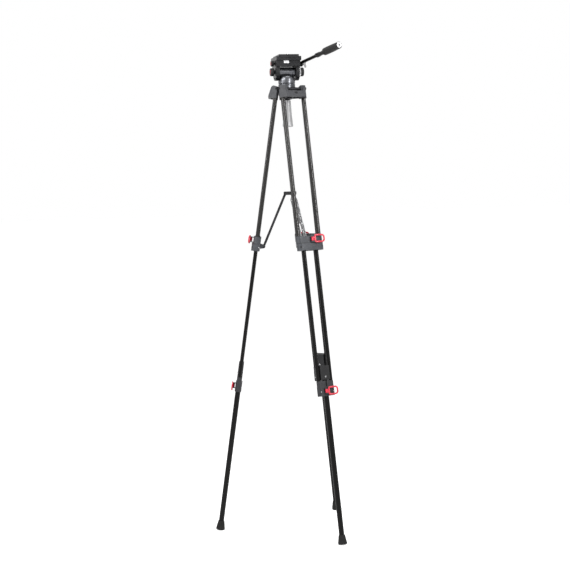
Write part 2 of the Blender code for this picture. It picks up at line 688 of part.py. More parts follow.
def add_side_controls(tilt):
    outer = cheek["outer"]
    face = outer + gap
    flip = (0, 0, pi)
    solid("tilt_lock_knob", turned(knob_profile(tilt_knob["radius"], tilt_knob["length"]), 20, "X"),
          tilt, black_plastic, at=(-face, 0, 0), turn=flip)
    solid("plate_lock_knob", turned(knob_profile(plate_knob["radius"], plate_knob["length"]), 18, "X"),
          tilt, black_plastic, at=(-face, 0, plate_knob["z"]), turn=flip)
    ring, wide = drag["ring"], drag["ring_wide"]
    band = [(0, 0), (ring - 0.002, 0), (ring, 0.002), (ring, wide - 0.001), (ring - 0.001, wide),
            (0, wide)]
    solid("drag_ring", turned(band, 28, "X"), tilt, silver, at=(face, 0, 0))
    dial = turned(knob_profile(drag["dial"], drag["dial_wide"], 0.8, 0.001), 28, "X")
    solid("drag_dial", dial, tilt, black_plastic, at=(face + wide + gap, 0, 0))
    teeth = turned([(0, 0), (rosette["radius"], 0), (rosette["radius"], rosette["wide"]),
                    (0, rosette["wide"])], 20, "X")
    solid("handle_rosette", teeth, tilt, silver, at=(face, 0, rosette["z"]))


def add_handle(tilt):
    """Bar clamp on the rosette, bent bar, telescopic grip."""
    start = cheek["outer"] + gap + rosette["wide"] + gap
    frame = empty("handle_pivot", tilt, (start, 0, rosette["z"]))
    wide, radius = clamp_head["wide"], clamp_head["radius"]
    swing = bar_swing - pan_angle
    along = Vector((cos(bar_rise) * cos(swing), cos(bar_rise) * sin(swing), sin(bar_rise)))
    bend = Vector((wide / 2 + 0.0035, -0.022, 0.0055))
    far = bend + along * bar_straight
    middle = wide / 2
    path = smooth_path([(middle, -0.004, 0), (middle, -0.0120, 0.0018), tuple(bend),
                        tuple(bend + along * 0.02)], 4) + [far]
    shape = solid("pan_bar", turned([(0, 0), (radius, 0), (radius, wide - 0.001), (radius - 0.001, wide),
                                     (0, wide)], 20, "X"), frame, black_tube)
    fuse(shape, swept(path, bar["radius"], 16))
    cut(shape, cylinder(clamp_head["bolt"] + gap, -0.01, wide + 0.02, 12, "X"))
    turn = along.to_track_quat("Z", "Y").to_matrix()
    bore = cylinder(bar["bore"], bar_straight - grip["reach"] - 0.010, bar_straight + 0.01, 16)
    bmesh.ops.rotate(bore, verts=bore.verts, cent=(0, 0, 0), matrix=turn)
    cut(shape, shifted(bore, bend.x, bend.y, bend.z))
    add_wing_bolt(frame, wide)
    rail = empty("bar_line", frame, tuple(bend), tuple(turn.to_euler()))
    add_grip(rail)


def add_wing_bolt(frame, wide):
    bolt = clamp_head["bolt"]
    stem = [(0, -wide), (bolt, -wide), (bolt, gap), (0.0052, gap), (0.0046, 0.008), (0, 0.008)]
    shape = solid("handle_wing_bolt", turned(stem, 14, "X"), frame, pale_metal, at=(wide, 0, 0))
    wing = [(0.006, -0.0032), (0.0085, -0.0130), (0.0135, -0.0135), (0.0150, -0.0085), (0.0120, 0),
            (0.0150, 0.0085), (0.0135, 0.0135), (0.0085, 0.0130), (0.006, 0.0032)]
    fuse(shape, prism(wing, -0.0020, 0.0020, "Y"))


def add_grip(rail):
    tail = bar_straight
    radius, length = collar["radius"], collar["length"]
    low = tail - length
    ring = bar["radius"] + gap
    sleeve = [(ring, low), (radius - 0.002, low), (radius, low + 0.002), (radius, tail - 0.008),
              (radius - 0.0018, tail - 0.001), (ring, tail - 0.001)]
    shape = solid("handle_collar", turned(sleeve, 20), rail, black_plastic)
    tab = [(-radius + 0.001, low + 0.004), (-radius - 0.005, low + 0.007),
           (-radius - 0.0062, low + 0.018), (-radius - 0.0040, low + 0.019), (-radius + 0.001, low + 0.012)]
    fuse(shape, prism(tab, -0.003, 0.003, "Y"))
    start, end = tail + 0.001, tail + grip["length"]
    slim, belly = grip["neck"], grip["belly"]
    skin = [(grip["tube"], start - grip["reach"]), (grip["tube"], start), (slim, start + 0.0003),
            (slim - 0.0006, start + 0.014), (slim + 0.0022, start + 0.026)]
    count = 6
    for i in range(count + 1):
        t = i / count
        place = start + 0.034 + (end - start - 0.036) * t
        skin.append((grip["end"] + (belly - grip["end"]) * sin(pi * (0.28 + 0.72 * t)), place))
    skin.append((end_cap["radius"] + gap, end))
    seat = end - end_cap["length"] + 0.001
    profile = [(0, start - grip["reach"])] + skin + [(end_cap["radius"] + gap, seat), (0, seat)]
    solid("handle_grip", turned(profile, 18), rail, black_rubber)
    cap = end_cap["radius"]
    disc = [(0, seat + gap), (cap, seat + gap), (cap, end + 0.0005), (cap - 0.0015, end + 0.0018),
              (0.0035, end + 0.0018), (0.0030, end + 0.0008), (0, end + 0.0008)]
    solid("grip_end_cap", turned(disc, 20), rail, silver)


def add_leg(side, root, degrees):
    azimuth = radians(degrees)
    frame = empty(side + "_leg_hinge", root,
                  (hinge_radius * cos(azimuth), hinge_radius * sin(azimuth), hinge_height),
                  (0, -splay, azimuth))
    add_saddle(side, frame)
    add_upper_tubes(side, frame)
    middle = add_mid_clamp(side, frame)
    add_lever(side, "mid_lever", frame, mid_lever, middle)
    add_middle_frame(side, frame)
    middle = add_lower_clamp(side, frame)
    add_lever(side, "lower_lever", frame, lower_lever, middle)
    add_lower_tube(side, frame)
    add_foot(side, frame)
    add_arm(side, root, azimuth)


def center_on_floor(root):
    """Puts the middle of the model's box over the origin and its lowest point on the floor."""
    bpy.context.view_layer.update()
    graph = bpy.context.evaluated_depsgraph_get()
    low, high = Vector((9, 9, 9)), Vector((-9, -9, -9))
    for item in bpy.data.objects:
        if item.type != "MESH" or item.hide_render:
            continue
        seen = item.evaluated_get(graph)
        for vertex in seen.data.vertices:
            place = seen.matrix_world @ vertex.co
            low = Vector(map(min, low, place))
            high = Vector(map(max, high, place))
    root.location = (-(low.x + high.x) / 2, -(low.y + high.y) / 2, -low.z)
    bpy.context.view_layer.update()


root = empty("tripod_axis")
for side, degrees in legs.items():
    add_leg(side, root, degrees)
add_hub(root)
add_crown(root)
pan = empty("pan_axis", root, turn=(0, 0, pan_angle))
tilt = empty("tilt_axis", pan, (0, 0, tilt_height))
add_neck(pan)
button_x = add_platform(tilt)
add_plate(tilt, button_x)
add_side_controls(tilt)
add_handle(tilt)
center_on_floor(root)
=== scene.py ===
import json
import bmesh
import bpy
from math import cos, pi, radians, sin
from mathutils import Matrix, Vector


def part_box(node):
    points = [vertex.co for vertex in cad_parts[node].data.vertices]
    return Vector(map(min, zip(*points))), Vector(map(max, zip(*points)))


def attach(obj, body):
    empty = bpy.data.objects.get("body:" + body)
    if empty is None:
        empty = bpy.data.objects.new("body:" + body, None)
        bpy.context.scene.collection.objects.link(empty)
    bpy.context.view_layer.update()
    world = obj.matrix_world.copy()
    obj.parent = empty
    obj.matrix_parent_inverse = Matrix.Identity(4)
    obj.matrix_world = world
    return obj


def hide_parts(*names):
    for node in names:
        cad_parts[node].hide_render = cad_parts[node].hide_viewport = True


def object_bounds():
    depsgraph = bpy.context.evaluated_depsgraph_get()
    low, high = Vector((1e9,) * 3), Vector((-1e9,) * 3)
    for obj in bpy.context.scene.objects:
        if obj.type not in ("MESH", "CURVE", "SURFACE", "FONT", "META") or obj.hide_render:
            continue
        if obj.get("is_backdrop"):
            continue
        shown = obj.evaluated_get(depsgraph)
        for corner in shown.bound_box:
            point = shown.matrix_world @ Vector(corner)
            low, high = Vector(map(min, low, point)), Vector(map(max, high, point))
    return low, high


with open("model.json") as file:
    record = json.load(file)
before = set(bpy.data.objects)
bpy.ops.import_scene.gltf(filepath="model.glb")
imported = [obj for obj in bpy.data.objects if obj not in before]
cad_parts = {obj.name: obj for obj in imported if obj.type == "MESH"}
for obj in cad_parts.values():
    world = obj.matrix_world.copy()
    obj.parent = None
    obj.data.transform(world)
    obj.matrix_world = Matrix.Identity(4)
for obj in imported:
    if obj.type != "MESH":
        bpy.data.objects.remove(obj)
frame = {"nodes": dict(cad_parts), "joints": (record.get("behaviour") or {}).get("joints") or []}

# Video tripod with a fluid head: finishes, fittings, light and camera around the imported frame

nodes = frame["nodes"]
joints = {joint["name"]: joint for joint in frame["joints"]}
sides = ("left", "front", "rear")


def corners():
    return [[float(value) for value in corner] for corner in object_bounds()]


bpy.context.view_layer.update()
for spare in ("Cube", "Light", "Camera"):
    if spare in bpy.data.objects:
        bpy.data.objects.remove(bpy.data.objects[spare])


# places and directions taken from the frame
def middle(name):
    low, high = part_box(name)
    return (low + high) / 2


def jointAxis(name):
    return Vector(joints[name]["axis"]).normalized()


def jointPlace(name):
    return Vector(joints[name]["pos_m"])


upright = Vector((0, 0, 1))
tripodAxis = middle("clamp_washer")
headSide = jointAxis("tilt")                          # towards the drag dial
headFront = headSide.cross(upright).normalized()      # towards the operator's side
barLine = jointAxis("grip_slide")


def legFrame(side):
    along = jointAxis(side + "_middle_slide")
    across = jointAxis(side + "_leg_spread")
    return {"hinge": jointPlace(side + "_leg_spread"), "up": along, "across": across,
            "out": along.cross(across).normalized()}


legFrames = {side: legFrame(side) for side in sides}


def legSpot(side, out, across, down):
    leg = legFrames[side]
    return leg["hinge"] + leg["out"] * out + leg["across"] * across - leg["up"] * down


# soft shading over the frame's facets
def smoothFacets(piece, limit):
    mesh = piece.data
    keep = cos(limit)
    around = {}
    for face in mesh.polygons:
        for index in face.vertices:
            key = tuple(round(value, 6) for value in mesh.vertices[index].co)
            around.setdefault(key, []).append((face.normal.copy(), face.area))
    normals = []
    for face in mesh.polygons:
        for index in face.vertices:
            key = tuple(round(value, 6) for value in mesh.vertices[index].co)
            total = Vector()
            for normal, area in around[key]:
                if normal.dot(face.normal) > keep:
                    total += normal * area
            normals.append(total.normalized() if total.length > 0 else face.normal.copy())
    mesh.shade_smooth()
    mesh.normals_split_custom_set(normals)


for piece in nodes.values():
    smoothFacets(piece, radians(38))
print("frame shading smoothed")


# node material tools
def addNode(tree, kind, inputs=None, **settings):
    made = tree.nodes.new(kind)
    for key, value in settings.items():
        setattr(made, key, value)
    for key, value in (inputs or {}).items():
        if isinstance(value, bpy.types.NodeSocket):
            tree.links.new(value, made.inputs[key])
        else:
            made.inputs[key].default_value = value
    return made


def blendColors(tree, factor, first, second):
    mix = addNode(tree, "ShaderNodeMix", data_type="RGBA")
    for slot, value in ((0, factor), (6, first), (7, second)):
        if isinstance(value, bpy.types.NodeSocket):
            tree.links.new(value, mix.inputs[slot])
        else:
            mix.inputs[slot].default_value = value if slot == 0 else (*value, 1.0)
    return mix.outputs[2]


def spread(tree, value, lowIn, highIn, lowOut, highOut):
    made = addNode(tree, "ShaderNodeMapRange", {"Value": value, "From Min": lowIn, "From Max": highIn,
                                                "To Min": lowOut, "To Max": highOut}, clamp=True)
    return made.outputs["Result"]


def calc(tree, operation, first, second=0.0):
    made = addNode(tree, "ShaderNodeMath", {0: first, 1: second}, operation=operation)
    return made.outputs[0]


def patternSpace(tree, look):
    coord = addNode(tree, "ShaderNodeTexCoord").outputs["Object"]
    along = look.get("along")
    if along is None:
        return coord
    turn = Vector(along).rotation_difference(upright).to_euler()
    centre = Vector(look.get("centre", (0, 0, 0)))
    moved = addNode(tree, "ShaderNodeMapping", {"Vector": coord, "Location": -centre})
    return addNode(tree, "ShaderNodeMapping", {"Vector": moved.outputs[0], "Rotation": turn}).outputs[0]


def makeFinish(name, look):
    made = bpy.data.materials.new(name)
    made.use_nodes = True
    tree = made.node_tree
    shader = tree.nodes["Principled BSDF"]
    space = patternSpace(tree, look)
    cloud = addNode(tree, "ShaderNodeTexNoise", {"Vector": space, "Scale": look["cloud"], "Detail": 5.0,
                                                 "Roughness": 0.6})
    tone = spread(tree, cloud.outputs[0], 0.32, 0.68, 0.0, 1.0)
    color = blendColors(tree, tone, look["color"], look["fade"])
    grainSpace = space
    if look.get("stretch"):                                      # drawn lines along the piece
        grainSpace = addNode(tree, "ShaderNodeMapping", {"Vector": space,
                             "Scale": (1.0, 1.0, look["stretch"])}).outputs[0]
    if look.get("turned"):                                       # lathe lines round the piece
        parts = addNode(tree, "ShaderNodeSeparateXYZ", {0: space})
        flat = addNode(tree, "ShaderNodeCombineXYZ", {0: parts.outputs[0], 1: parts.outputs[1]})
        reach = addNode(tree, "ShaderNodeVectorMath", {0: flat.outputs[0]}, operation="LENGTH")
        grainSpace = addNode(tree, "ShaderNodeCombineXYZ", {0: reach.outputs["Value"],
                                                            2: parts.outputs[2]}).outputs[0]
    if look.get("cells"):
        grain = addNode(tree, "ShaderNodeTexVoronoi", {"Vector": grainSpace, "Scale": look["grain"]},
                        feature="SMOOTH_F1")
    else:
        grain = addNode(tree, "ShaderNodeTexNoise", {"Vector": grainSpace, "Scale": look["grain"],
                                                     "Detail": 3.0})
    speck = spread(tree, grain.outputs[0], 0.3, 0.7, 0.0, 1.0)
    rim = addNode(tree, "ShaderNodeBevel", {"Radius": look["round"]}, samples=6)
    facing = addNode(tree, "ShaderNodeNewGeometry").outputs["Normal"]
    bend = addNode(tree, "ShaderNodeVectorMath", {0: rim.outputs[0], 1: facing}, operation="DOT_PRODUCT")
    edge = spread(tree, bend.outputs["Value"], 0.995, 0.80, 0.0, 1.0)
    # edges paled towards the pale colour: edge wear on most finishes, a painted edge highlight on the front
    # spreader arm
    wornAndHighlightEdge = calc(tree, "MULTIPLY", edge, spread(tree, cloud.outputs[0], 0.42, 0.62, 0.25, 1.0))
    color = blendColors(tree, calc(tree, "MULTIPLY", wornAndHighlightEdge, look["wear"]), color, look["bare"])
    color = blendColors(tree, calc(tree, "MULTIPLY", speck, look.get("fleck", 0.12)), color, look["bare"])
    tree.links.new(color, shader.inputs["Base Color"])
    smudge = addNode(tree, "ShaderNodeTexNoise", {"Vector": space, "Scale": look["cloud"] * 3.1,
                                                  "Detail": 6.0, "Roughness": 0.7})
    rough = spread(tree, smudge.outputs[0], 0.3, 0.7, look["rough"][0], look["rough"][1])
    rough = calc(tree, "ADD", rough, calc(tree, "MULTIPLY", speck, look.get("grit", 0.05)))
    tree.links.new(rough, shader.inputs["Roughness"])
    bump = addNode(tree, "ShaderNodeBump", {"Height": grain.outputs[0], "Distance": look["depth"],
                                            "Strength": 1.0, "Normal": rim.outputs[0]})
    tree.links.new(bump.outputs[0], shader.inputs["Normal"])
    shader.inputs["Metallic"].default_value = look.get("metal", 0.0)
    shader.inputs["Specular IOR Level"].default_value = look.get("specular", 0.5)
    shader.inputs["Coat Weight"].default_value = look.get("coat", 0.0)
    shader.inputs["Coat Roughness"].default_value = look.get("coatRough", 0.1)
    shader.inputs["Anisotropic"].default_value = look.get("brushed", 0.0)
    return made


def variant(base, **changes):
    return {**base, **changes}


# finishes
anodisedTube = {"color": (0.0030, 0.0028, 0.0028), "fade": (0.0055, 0.0051, 0.0050),
                "bare": (0.05, 0.047, 0.045),
                "cloud": 9.0, "grain": 900.0, "stretch": 0.02, "depth": 0.000005, "round": 0.0004,
                "wear": 0.15, "fleck": 0.012, "rough": (0.20, 0.28), "specular": 0.12}
# lighter copy of the tube finish for the upper tubes: a painted sheen standing in for the highlights near the
# top of the legs
upperTubeSheen = variant(anodisedTube, color=(0.009, 0.0082, 0.0078), fade=(0.018, 0.0165, 0.0155),
                    bare=(0.10, 0.092, 0.086), rough=(0.16, 0.25), specular=0.40, metal=0.12)
saddleShell = {"color": (0.029, 0.030, 0.034), "fade": (0.043, 0.044, 0.049), "bare": (0.17, 0.17, 0.18),
               "cloud": 38.0, "grain": 2100.0, "cells": True, "depth": 0.00007, "round": 0.0011,
               "wear": 0.35, "fleck": 0.10, "rough": (0.42, 0.56), "grit": 0.08, "specular": 0.35}
clampShell = variant(saddleShell, color=(0.032, 0.035, 0.041), fade=(0.052, 0.056, 0.064),
                     bare=(0.17, 0.175, 0.19), rough=(0.34, 0.48), round=0.0009)
lowClampShell = variant(clampShell, color=(0.012, 0.012, 0.014), fade=(0.020, 0.020, 0.023),
                        bare=(0.12, 0.12, 0.13))
blackMoulding = variant(saddleShell, color=(0.006, 0.006, 0.0065), fade=(0.011, 0.011, 0.0118),
                        bare=(0.07, 0.07, 0.073), round=0.0006, rough=(0.36, 0.52), specular=0.25)
softRubber = {"color": (0.0065, 0.0065, 0.0065), "fade": (0.013, 0.0127, 0.0124), "bare": (0.05, 0.048, 0.046),
              "cloud": 55.0, "grain": 1500.0, "cells": True, "depth": 0.00012, "round": 0.0008,
              "wear": 0.30, "fleck": 0.10, "rough": (0.58, 0.78), "grit": 0.10, "specular": 0.22}
gripRubber = variant(softRubber, turned=True, cells=False, grain=420.0, depth=0.00025,
                     along=barLine, centre=middle("grip_end_cap"), rough=(0.42, 0.60))
redLever = {"color": (0.52, 0.014, 0.036), "fade": (0.64, 0.026, 0.054), "bare": (0.85, 0.30, 0.33),
            "cloud": 60.0, "grain": 900.0, "depth": 0.00003, "round": 0.0008, "wear": 0.35,
            "fleck": 0.05, "rough": (0.28, 0.40), "specular": 0.35, "coat": 0.25, "coatRough": 0.15}
castMetal = {"color": (0.010, 0.010, 0.0115), "fade": (0.018, 0.018, 0.020), "bare": (0.14, 0.14, 0.15),
             "cloud": 45.0, "grain": 1300.0, "cells": True, "depth": 0.00006, "round": 0.0007,
             "wear": 0.40, "fleck": 0.08, "rough": (0.24, 0.38), "metal": 0.30, "specular": 0.35}
neckMetal = variant(castMetal, color=(0.055, 0.058, 0.064), fade=(0.085, 0.088, 0.095),
                    bare=(0.35, 0.35, 0.37), turned=True, cells=False, grain=1600.0, depth=0.00003,
                    along=upright, centre=tripodAxis, rough=(0.22, 0.34), metal=0.85)
drumMetal = variant(neckMetal, color=(0.085, 0.088, 0.097), fade=(0.125, 0.128, 0.138))
headBlack = variant(castMetal, color=(0.0065, 0.0065, 0.0075), fade=(0.012, 0.012, 0.0135),
                    rough=(0.22, 0.34), metal=0.12, specular=0.22)
crownMetal = variant(castMetal, color=(0.030, 0.030, 0.033), fade=(0.050, 0.050, 0.054),
                     rough=(0.14, 0.24), metal=0.75, cells=False, grain=700.0, depth=0.00002)
silverTurned = {"color": (0.36, 0.36, 0.37), "fade": (0.50, 0.50, 0.51), "bare": (0.80, 0.80, 0.80),
                "cloud": 50.0, "grain": 2600.0, "turned": True, "depth": 0.00003, "round": 0.0005,
                "wear": 0.5, "fleck": 0.15, "rough": (0.18, 0.30), "metal": 1.0, "brushed": 0.4,
                "along": headSide, "centre": middle("drag_ring")}
capSilver = variant(silverTurned, along=barLine, centre=middle("grip_end_cap"),
                    color=(0.55, 0.55, 0.56), fade=(0.72, 0.72, 0.73))
steelBright = variant(silverTurned, along=upright, centre=middle("camera_screw"), rough=(0.14, 0.26))
paleHandle = {"color": (0.30, 0.30, 0.305), "fade": (0.39, 0.39, 0.395), "bare": (0.60, 0.60, 0.60),
              "cloud": 40.0, "grain": 1700.0, "cells": True, "depth": 0.00006, "round": 0.0007,
              "wear": 0.35, "fleck": 0.10, "rough": (0.36, 0.52), "metal": 0.2}
wingPale = variant(paleHandle, color=(0.13, 0.128, 0.13), fade=(0.20, 0.197, 0.20), metal=0.5,
                   rough=(0.28, 0.40))
armMetal = variant(castMetal, color=(0.014, 0.014, 0.0155), fade=(0.024, 0.024, 0.026),
                   bare=(0.16, 0.16, 0.17), round=0.0008, wear=0.6, rough=(0.24, 0.36), metal=0.3)
# lit copy of the arm finish: lighter colour and near-white edges, a painted highlight for the front arm
armPaintedHighlight = variant(armMetal, color=(0.13, 0.13, 0.135), fade=(0.20, 0.20, 0.205), bare=(0.85, 0.85, 0.86),
                    round=0.0016, wear=1.0, metal=0.75)
badgeWhite = {"color": (0.78, 0.78, 0.79), "fade": (0.84, 0.84, 0.85), "bare": (0.95, 0.95, 0.95),
              "cloud": 120.0, "grain": 2400.0, "depth": 0.00002, "round": 0.0003, "wear": 0.3,
              "fleck": 0.05, "rough": (0.28, 0.40)}
markRed = variant(redLever, color=(0.50, 0.03, 0.04), fade=(0.58, 0.05, 0.06), round=0.0002)

finishes = {"saddle": makeFinish("saddle_shell", saddleShell),
            "clamp": makeFinish("mid_clamp_shell", clampShell),
            "lowClamp": makeFinish("lower_clamp_shell", lowClampShell),
            "black": makeFinish("black_moulding", blackMoulding),
            "rubber": makeFinish("boot_rubber", softRubber),
            "grip": makeFinish("grip_rubber", gripRubber),
            "red": makeFinish("red_lever", redLever),
            "cast": makeFinish("cast_metal", castMetal),
            "crown": makeFinish("crown_metal", crownMetal),
            "neck": makeFinish("neck_metal", neckMetal),
            "drum": makeFinish("drum_metal", drumMetal),
            "head": makeFinish("head_black", headBlack),
            "silver": makeFinish("silver_turned", silverTurned),
            "steel": makeFinish("bright_steel", steelBright),
            "capSilver": makeFinish("cap_silver", capSilver),
            "pale": makeFinish("pale_handle", paleHandle),
            "wing": makeFinish("wing_pale", wingPale),
            "arm": makeFinish("arm_metal", armMetal),
            "armPaintedHighlight": makeFinish("arm_painted_highlight_metal", armPaintedHighlight),
            "badge": makeFinish("badge_white", badgeWhite),
            "mark": makeFinish("mark_red", markRed)}
for side in sides:
    finishes["tube_" + side] = makeFinish("anodised_tube_" + side,
                                          variant(anodisedTube, along=legFrames[side]["up"],
                                                  centre=legFrames[side]["hinge"]))
    finishes["upper_" + side] = makeFinish("upper_tube_" + side,
                                           variant(upperTubeSheen, along=legFrames[side]["up"],
                                                   centre=legFrames[side]["hinge"]))
finishes["barTube"] = makeFinish("bar_tube", variant(anodisedTube, along=barLine, centre=middle("pan_bar"),
                                                     rough=(0.20, 0.32)))

legCoats = {"saddle": "saddle", "mid_clamp": "clamp", "lower_clamp": "lowClamp", "mid_lever": "red",
            "lower_lever": "red", "guide_block": "black", "foot": "rubber", "spreader_arm": "arm"}
headCoats = {"quick_release_plate": "head", "camera_screw": "steel", "tilt_platform": "head",
             "plate_lock_knob": "black", "plate_release_button": "silver", "tilt_housing": "drum",
             "tilt_axle": "silver", "tilt_lock_knob": "black", "drag_ring": "silver",
             "drag_dial": "black", "handle_rosette": "cast", "pan_bar": "barTube",
             "handle_wing_bolt": "wing", "handle_collar": "black", "handle_grip": "grip",
             "grip_end_cap": "capSilver", "pan_base": "neck", "pan_spindle": "cast",
             "pan_lock_knob": "black", "half_ball": "cast", "crown": "crown", "clamp_washer": "cast",
             "tie_down_handle": "pale", "spreader_hub": "black"}
for name, piece in nodes.items():
    side, _, rest = name.partition("_")
    if side in sides:
        coat = finishes[legCoats[rest]] if rest in legCoats else finishes["tube_" + side]
        # upper tubes take the lighter copy, a painted sheen
        if rest.startswith("upper_tube"):
            coat = finishes["upper_" + side]
        if name == "front_spreader_arm":                         # painted highlight: the front arm takes a lighter, lit copy of the arm finish
            coat = finishes["armPaintedHighlight"]
    else:
        coat = finishes[headCoats[name]]
    if piece.material_slots:
        for slot in piece.material_slots:
            slot.material = coat
    else:
        piece.data.materials.append(coat)
print("finishes on the frame:", len(finishes))


# mesh tools
def meshPiece(name, shape, coat, body):
    bmesh.ops.recalc_face_normals(shape, faces=shape.faces)
    mesh = bpy.data.meshes.new(name)
    shape.to_mesh(mesh)
    shape.free()
    mesh.shade_smooth()
    mesh.set_sharp_from_angle(angle=radians(32))
    mesh.materials.append(finishes[coat])
    made = bpy.data.objects.new(name, mesh)
    bpy.context.scene.collection.objects.link(made)
    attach(made, body)
    return made


def standOn(spot, facing, spin=0.0):
    return Matrix.Translation(spot) @ facing.to_track_quat("Z", "Y").to_matrix().to_4x4() \
        @ Matrix.Rotation(spin, 4, "Z")


def loft(shape, rings, capEnds=True, closed=False):
    made = [[shape.verts.new(point) for point in row] for row in rings]
    pairs = list(zip(made, made[1:])) + ([(made[-1], made[0])] if closed else [])
    for low, high in pairs:
        for index in range(len(low)):
            after = (index + 1) % len(low)
            shape.faces.new((low[index], low[after], high[after], high[index]))
    if capEnds and not closed:
        shape.faces.new(list(reversed(made[0])))
        shape.faces.new(made[-1])


def ring(place, radius, high, steps, corners=0, wave=0.0):
    points = []
    for index in range(steps):
        angle = 2 * pi * index / steps
        reach = radius
        if corners:                                   # flat-sided socket
            part = 2 * pi / corners
            reach = radius * cos(part / 2) / cos((angle % part) - part / 2)
        if wave:
            reach += wave * (1 if index % 2 else -1)
        points.append(place @ Vector((reach * cos(angle), reach * sin(angle), high)))
    return points


def landOn(name, start, heading):
    found, spot, normal, _ = nodes[name].ray_cast(Vector(start), Vector(heading).normalized())
    if not found:
        print("no surface found on", name)
        return None, None
    return spot, normal


def capScrew(name, onto, start, heading, body, size, coat="steel"):
    spot, normal = landOn(onto, start, heading)
    if spot is None:
        return
    place = standOn(spot, normal)
    radius, high, socket = size["radius"], size["high"], size["radius"] * size["socket"]
    steps = 24
    shape = bmesh.new()
    profile = ((1.0, -0.2), (1.0, 0.45), (0.95, 0.78), (0.82, 0.97), (0.66, 1.0))
    rings = [ring(place, radius * wide, high * up, steps) for wide, up in profile]
    rings.append(ring(place, socket, high, steps, 6))
    rings.append(ring(place, socket * 0.94, high * 0.2, steps, 6))
    loft(shape, rings)
    meshPiece(name, shape, coat, body)


def turnedRing(name, place, profile, coat, body, steps=40, wave=0.0, waved=()):
    shape = bmesh.new()
    rings = [ring(place, radius, high, steps, wave=wave if index in waved else 0.0)
             for index, (radius, high) in enumerate(profile)]
    loft(shape, rings, closed=True)
    return meshPiece(name, shape, coat, body)


def roundedPlate(name, place, wide, tall, thick, corner, coat, body, lip=0.0003):
    shape = bmesh.new()

    def outline(inset, high):
        points = []
        for turnIndex, (sx, sy) in enumerate(((1, 1), (-1, 1), (-1, -1), (1, -1))):
            for step in range(5):
                angle = pi / 2 * turnIndex + pi / 2 * step / 4
                reach = corner - inset
                points.append(place @ Vector((sx * (wide / 2 - corner) + reach * cos(angle),
                                              sy * (tall / 2 - corner) + reach * sin(angle), high)))
        return points
    loft(shape, [outline(0, -thick * 0.5), outline(0, thick - lip), outline(lip * 0.35, thick - lip * 0.3),
                 outline(lip, thick)])
    return meshPiece(name, shape, coat, body)


# fittings on the legs
tubeSeal = {"proud": 0.0016, "high": 0.0028, "ease": 0.0002, "tube": 0.008, "above": 0.025,
            "off": 0.0105}
probe = {"leg": 0.08, "foot": 0.05, "hinge": 0.09, "head": 0.12, "knob": 0.05}    # where rays start
legScrew = {"radius": 0.0030, "high": 0.0016, "socket": 0.50}
smallScrew = {"radius": 0.0022, "high": 0.0011, "socket": 0.50}
pinCap = {"radius": 0.0052, "high": 0.0019, "socket": 0.42}
clampPlace = {"mid": 0.5945, "midAcross": 0.046, "low": 1.1290, "lowAcross": 0.026, "guide": 1.075}


def sealRing(name, place, radius, body):
    ease, proud, high = tubeSeal["ease"], tubeSeal["proud"], tubeSeal["high"]
    inner, outer = radius + ease, radius + ease + proud
    profile = ((inner, 0), (inner, high), (inner + proud * 0.45, high), (outer, high * 0.55), (outer, 0))
    turnedRing(name, place, profile, "black", body, steps=28)


def legScrews(side, sign):
    out, across, away = legFrames[side]["out"], legFrames[side]["across"], probe["leg"]
    mid = (clampPlace["midAcross"] * sign, clampPlace["mid"])
    low = (clampPlace["lowAcross"] * sign, clampPlace["low"])
    return (("mid_screw", "mid_clamp", (away, *mid), -out, "leg_upper", legScrew, "black"),
            ("mid_back_screw", "mid_clamp", (-away, *mid), out, "leg_upper", legScrew, "steel"),
            ("low_screw", "lower_clamp", (away, *low), -out, "leg_middle", smallScrew, "steel"),
            ("low_back_screw", "lower_clamp", (-away, *low), out, "leg_middle", smallScrew, "steel"),
            ("hinge_cap", "saddle", (0.0, probe["hinge"] * sign, 0.0), across * -sign, "leg_upper",
             pinCap, "cast"),
            ("guide_screw", "guide_block", (away * sign, 0.0, clampPlace["guide"]), out * -sign,
             "leg_lower", legScrew, "steel"))


for side in sides:
    leg = legFrames[side]
    upper = side + "_leg_upper"
    for mark in ("a", "b"):
        across = (middle(f"{side}_upper_tube_{mark}") - leg["hinge"]).dot(leg["across"])
        foot = legSpot(side, 0, across, clampPlace["mid"] - tubeSeal["above"])
        spot, _ = landOn(side + "_mid_clamp",
                         foot + leg["up"] * 0.05 + leg["out"] * tubeSeal["off"], -leg["up"])
        if spot is not None:
            reach = (leg["hinge"] - spot).dot(leg["up"])
            sealRing(f"{side}_tube_seal_{mark}", standOn(legSpot(side, 0, across, reach), leg["up"]),
                     tubeSeal["tube"], upper)
    for sign, mark in ((1, "a"), (-1, "b")):
        for kind, onto, start, heading, body, size, coat in legScrews(side, sign):
            capScrew(f"{side}_{kind}_{mark}", f"{side}_{onto}", legSpot(side, *start), heading,
                     f"{side}_{body}", size, coat)
# flat black plate on each saddle's front strip: painted shade standing in for the screw recess
recessShade = {"wide": 0.0125, "tall": 0.0090, "thick": 0.0005, "corner": 0.0040, "down": 0.0215}
for side in sides:
    leg = legFrames[side]
    spot, normal = landOn(side + "_saddle", legSpot(side, probe["leg"], 0, recessShade["down"]), -leg["out"])
    if spot is not None:
        upAlong = (leg["up"] - normal * leg["up"].dot(normal)).normalized()
        facing = Matrix((upAlong.cross(normal), upAlong, normal)).transposed().to_4x4()
        roundedPlate(side + "_saddle_notch", Matrix.Translation(spot) @ facing, recessShade["wide"], recessShade["tall"],
                     recessShade["thick"], recessShade["corner"], "black", side + "_leg_upper", lip=0.0002)
print("leg fittings done")


